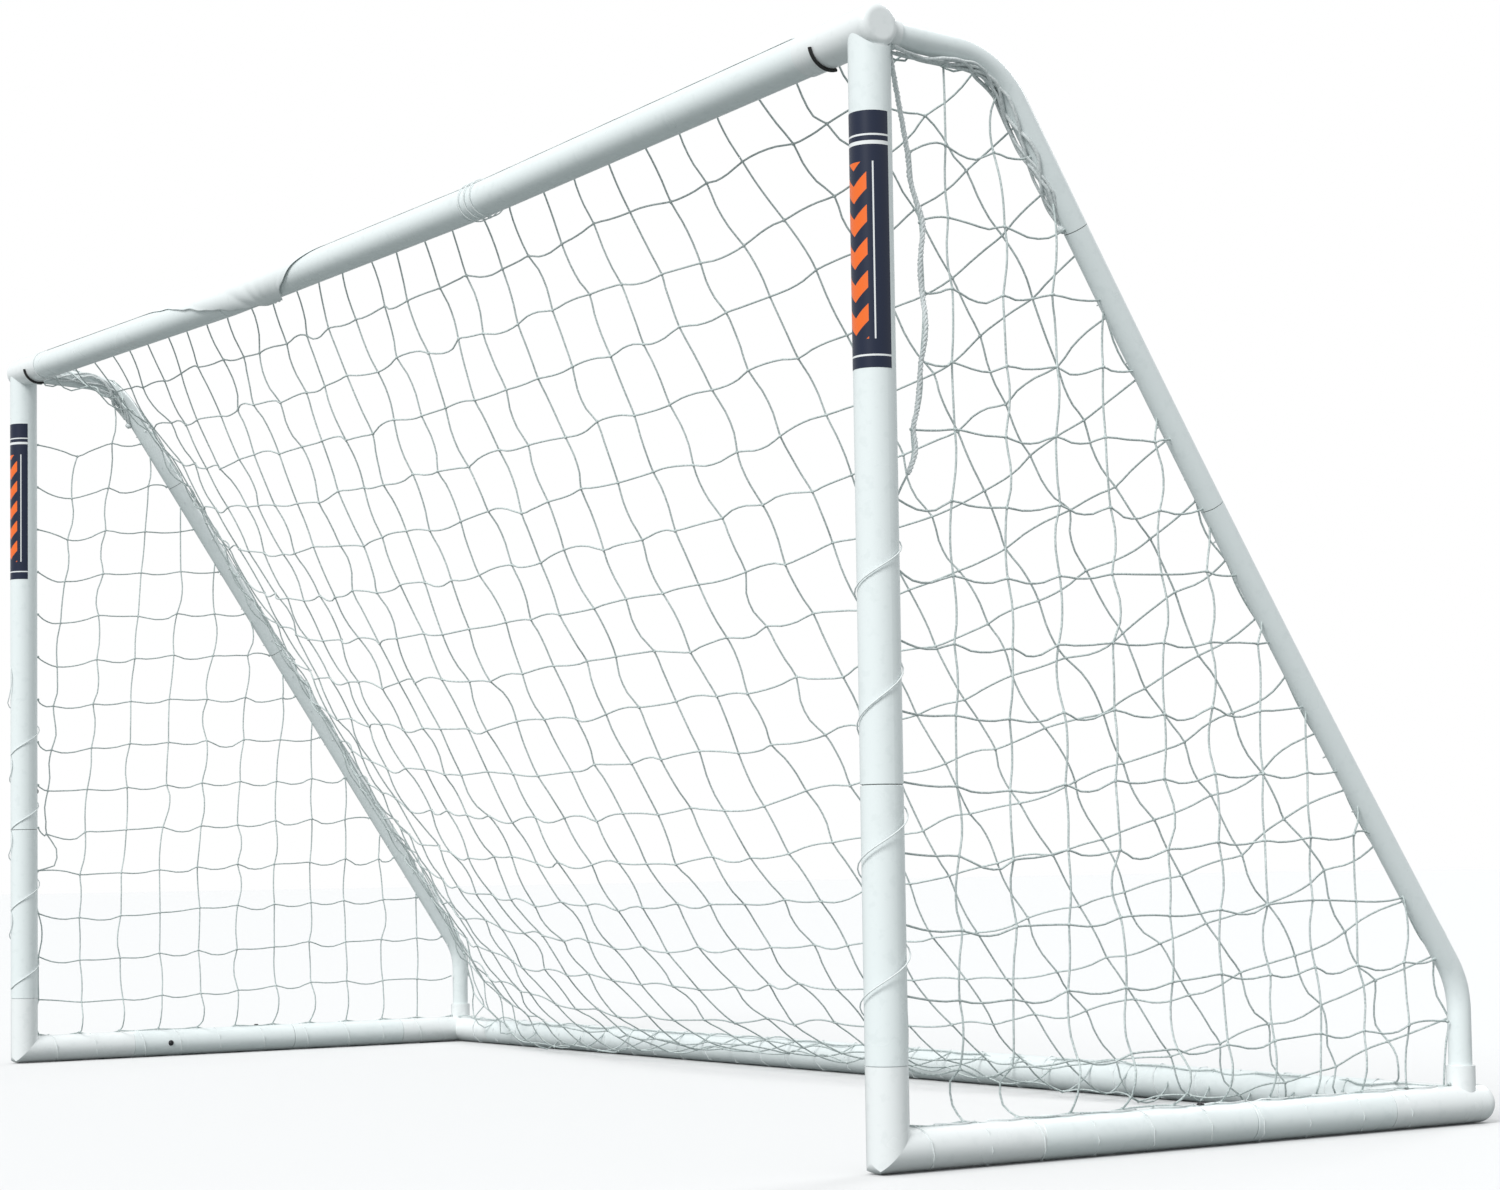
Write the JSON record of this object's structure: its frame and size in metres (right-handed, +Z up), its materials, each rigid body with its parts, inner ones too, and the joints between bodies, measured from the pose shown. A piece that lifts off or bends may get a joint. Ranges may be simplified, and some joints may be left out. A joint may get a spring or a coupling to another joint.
{
  "type": "football goal",
  "caption": "Full-frame football goal in push-together white plastic tube, with sloping rear stays, sprung lock buttons and a laced knotted net.",
  "frame": {"origin": "on the ground, in the middle of the goal's overall width and depth", "axes": "+X along the crossbar, +Y from the mouth to the back bar, +Z up; a player shoots along +Y"},
  "size_m": [3.8022, 1.3826, 1.8304],
  "materials": {
    "tube": "extruded white plastic, satin gloss",
    "corner": "moulded white plastic, gloss",
    "coupler": "moulded, matte",
    "button": "moulded black, satin",
    "clip_steel": "zinc plated spring steel",
    "hook": "moulded black, satin",
    "label": "printed vinyl, gloss",
    "net": "knotted polyethylene twine",
    "cord": "twisted polyethylene cord"
  },
  "bodies": {
    "goal": {"back_bar_coupler_left": "coupler", "back_bar_coupler_right": "coupler", "back_bar_left": "tube", "back_bar_middle": "tube", "back_bar_right": "tube", "bottom_corner_left": "corner", "bottom_corner_right": "corner", "clip_feet": "clip_steel", "clip_rivets": "clip_steel", "crossbar_coupler_left": "coupler", "crossbar_coupler_right": "coupler", "crossbar_left": "tube", "crossbar_middle": "tube", "crossbar_right": "tube", "label_left": "label", "label_right": "label", "lacing_cord": "cord", "net_back": "net", "net_hem": "net", "net_hooks": "hook", "net_roof": "net", "net_side_left": "net", "net_side_right": "net", "post_coupler_left": "coupler", "post_coupler_right": "coupler", "post_lower_left": "tube", "post_lower_right": "tube", "post_upper_left": "tube", "post_upper_right": "tube", "rear_corner_left": "corner", "rear_corner_right": "corner", "side_bar_coupler_left": "coupler", "side_bar_coupler_right": "coupler", "side_bar_front_left": "tube", "side_bar_front_right": "tube", "side_bar_rear_left": "tube", "side_bar_rear_right": "tube", "stay_couplers": "coupler", "stay_lower_left": "tube", "stay_lower_right": "tube", "stay_middle_left": "tube", "stay_middle_right": "tube", "stay_top_left": "tube", "stay_top_right": "tube", "top_corner_left": "corner", "top_corner_right": "corner"},
    "crossbar_button_left": {"crossbar_button_left": "button"},
    "top_corner_button_left": {"top_corner_button_left": "button"},
    "post_button_left": {"post_button_left": "button"},
    "bottom_corner_button_left": {"bottom_corner_button_left": "button"},
    "side_bar_button_left": {"side_bar_button_left": "button"},
    "back_bar_button_left": {"back_bar_button_left": "button"},
    "rear_corner_button_left": {"rear_corner_button_left": "button"},
    "crossbar_button_right": {"crossbar_button_right": "button"},
    "top_corner_button_right": {"top_corner_button_right": "button"},
    "post_button_right": {"post_button_right": "button"},
    "bottom_corner_button_right": {"bottom_corner_button_right": "button"},
    "side_bar_button_right": {"side_bar_button_right": "button"},
    "back_bar_button_right": {"back_bar_button_right": "button"},
    "rear_corner_button_right": {"rear_corner_button_right": "button"}
  },
  "joints": [
    {"name": "crossbar_button_left_press", "type": "hinge", "parent": "goal", "child": "crossbar_button_left", "pos_m": [-0.60701, -0.6265, 1.76783], "axis": [0.0208, 0, 0.9998], "range_deg": [0, 4.3], "stiffness_Nm_per_rad": 9},
    {"name": "top_corner_button_left_press", "type": "hinge", "parent": "goal", "child": "top_corner_button_left", "pos_m": [-1.65999, -0.6265, 1.78975], "axis": [-0.0208, 0, -0.9998], "range_deg": [0, 4.3], "stiffness_Nm_per_rad": 9},
    {"name": "post_button_left_press", "type": "hinge", "parent": "goal", "child": "post_button_left", "pos_m": [-1.864, -0.6265, 0.64], "axis": [1, 0, 0], "range_deg": [0, 4.3], "stiffness_Nm_per_rad": 9},
    {"name": "bottom_corner_button_left_press", "type": "hinge", "parent": "goal", "child": "bottom_corner_button_left", "pos_m": [-1.837, -0.3235, 0.034], "axis": [0, 0, 1], "range_deg": [0, 4.3], "stiffness_Nm_per_rad": 9},
    {"name": "side_bar_button_left_press", "type": "hinge", "parent": "goal", "child": "side_bar_button_left", "pos_m": [-1.864, 0.0565, 0.061], "axis": [1, 0, 0], "range_deg": [0, 4.3], "stiffness_Nm_per_rad": 9},
    {"name": "back_bar_button_left_press", "type": "hinge", "parent": "goal", "child": "back_bar_button_left", "pos_m": [-0.253, 0.6495, 0.034], "axis": [0, 0, 1], "range_deg": [0, 4.3], "stiffness_Nm_per_rad": 9},
    {"name": "rear_corner_button_left_press", "type": "hinge", "parent": "goal", "child": "rear_corner_button_left", "pos_m": [-1.624, 0.6495, 0.034], "axis": [0, 0, -1], "range_deg": [0, 4.3], "stiffness_Nm_per_rad": 9},
    {"name": "crossbar_button_right_press", "type": "hinge", "parent": "goal", "child": "crossbar_button_right", "pos_m": [0.60701, -0.6265, 1.76783], "axis": [0.0208, 0, -0.9998], "range_deg": [0, 4.3], "stiffness_Nm_per_rad": 9},
    {"name": "top_corner_button_right_press", "type": "hinge", "parent": "goal", "child": "top_corner_button_right", "pos_m": [1.65999, -0.6265, 1.78975], "axis": [-0.0208, 0, 0.9998], "range_deg": [0, 4.3], "stiffness_Nm_per_rad": 9},
    {"name": "post_button_right_press", "type": "hinge", "parent": "goal", "child": "post_button_right", "pos_m": [1.864, -0.6265, 0.64], "axis": [1, 0, 0], "range_deg": [0, 4.3], "stiffness_Nm_per_rad": 9},
    {"name": "bottom_corner_button_right_press", "type": "hinge", "parent": "goal", "child": "bottom_corner_button_right", "pos_m": [1.837, -0.3235, 0.034], "axis": [0, 0, -1], "range_deg": [0, 4.3], "stiffness_Nm_per_rad": 9},
    {"name": "side_bar_button_right_press", "type": "hinge", "parent": "goal", "child": "side_bar_button_right", "pos_m": [1.864, 0.0565, 0.061], "axis": [1, 0, 0], "range_deg": [0, 4.3], "stiffness_Nm_per_rad": 9},
    {"name": "back_bar_button_right_press", "type": "hinge", "parent": "goal", "child": "back_bar_button_right", "pos_m": [0.253, 0.6495, 0.034], "axis": [0, 0, -1], "range_deg": [0, 4.3], "stiffness_Nm_per_rad": 9},
    {"name": "rear_corner_button_right_press", "type": "hinge", "parent": "goal", "child": "rear_corner_button_right", "pos_m": [1.624, 0.6495, 0.034], "axis": [0, 0, 1], "range_deg": [0, 4.3], "stiffness_Nm_per_rad": 9}
  ]
}
